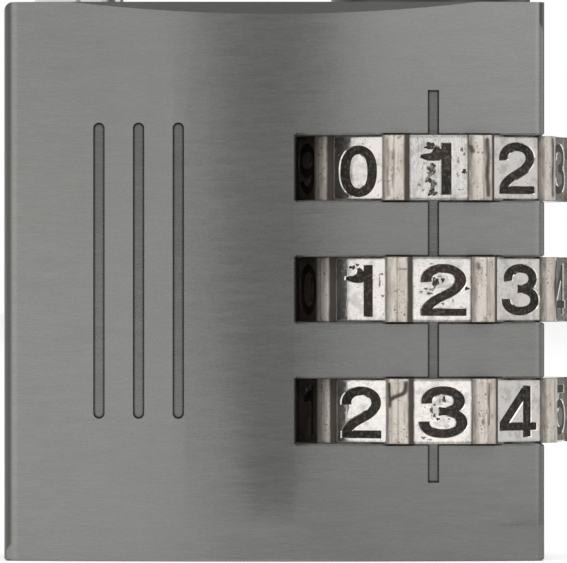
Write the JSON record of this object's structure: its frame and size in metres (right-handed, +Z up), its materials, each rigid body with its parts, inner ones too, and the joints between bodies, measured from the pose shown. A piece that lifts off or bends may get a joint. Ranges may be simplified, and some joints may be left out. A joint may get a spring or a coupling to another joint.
{
  "type": "combination lock",
  "caption": "Combination padlock: crowned grey metal body, chromed bow shackle that lifts out of its hole on one side, and ribbed number dials turning in open slots beside an index groove.",
  "frame": {"origin": "centre of the flat base that the lock stands on", "axes": "+Z up along the shackle legs, -Y out of the front face with the index groove, +X towards the dials"},
  "size_m": [0.0319, 0.016, 0.06],
  "materials": {
    "body_grey": "brushed across the front and anodised grey",
    "shackle_chrome": "bright plated",
    "bush_dark": "dark brown-grey, smooth",
    "dial_nickel": "nickel plated casting, worn, with black digits",
    "sleeve_brass": "turned",
    "steel_bright": "plain spring steel"
  },
  "bodies": {
    "lock_body": {"lock_body": "body_grey", "top_bush": "bush_dark", "retaining_pin": "steel_bright", "thrust_washer": "steel_bright", "sleeve_spring": "steel_bright", "detent_spring": "steel_bright", "spring_plug": "body_grey"},
    "shackle": {"shackle": "shackle_chrome"},
    "dial_1": {"dial_1": "dial_nickel", "code_sleeve_1": "sleeve_brass"},
    "dial_2": {"dial_2": "dial_nickel", "code_sleeve_2": "sleeve_brass"},
    "dial_3": {"dial_3": "dial_nickel", "code_sleeve_3": "sleeve_brass"}
  },
  "joints": [
    {"name": "shackle_lift", "type": "slide", "parent": "lock_body", "child": "shackle", "axis": [0, 0, 1], "range_m": [0, 0.0064]},
    {"name": "dial_1_turn", "type": "hinge", "parent": "lock_body", "child": "dial_1", "pos_m": [0.0088, 0, 0.0218], "axis": [0, 0, 1], "continuous": true, "deforming": ["detent_spring"]},
    {"name": "dial_2_turn", "type": "hinge", "parent": "lock_body", "child": "dial_2", "pos_m": [0.0088, 0, 0.01506], "axis": [0, 0, 1], "continuous": true, "deforming": ["detent_spring"]},
    {"name": "dial_3_turn", "type": "hinge", "parent": "lock_body", "child": "dial_3", "pos_m": [0.0088, 0, 0.00832], "axis": [0, 0, 1], "continuous": true, "deforming": ["detent_spring"]}
  ]
}
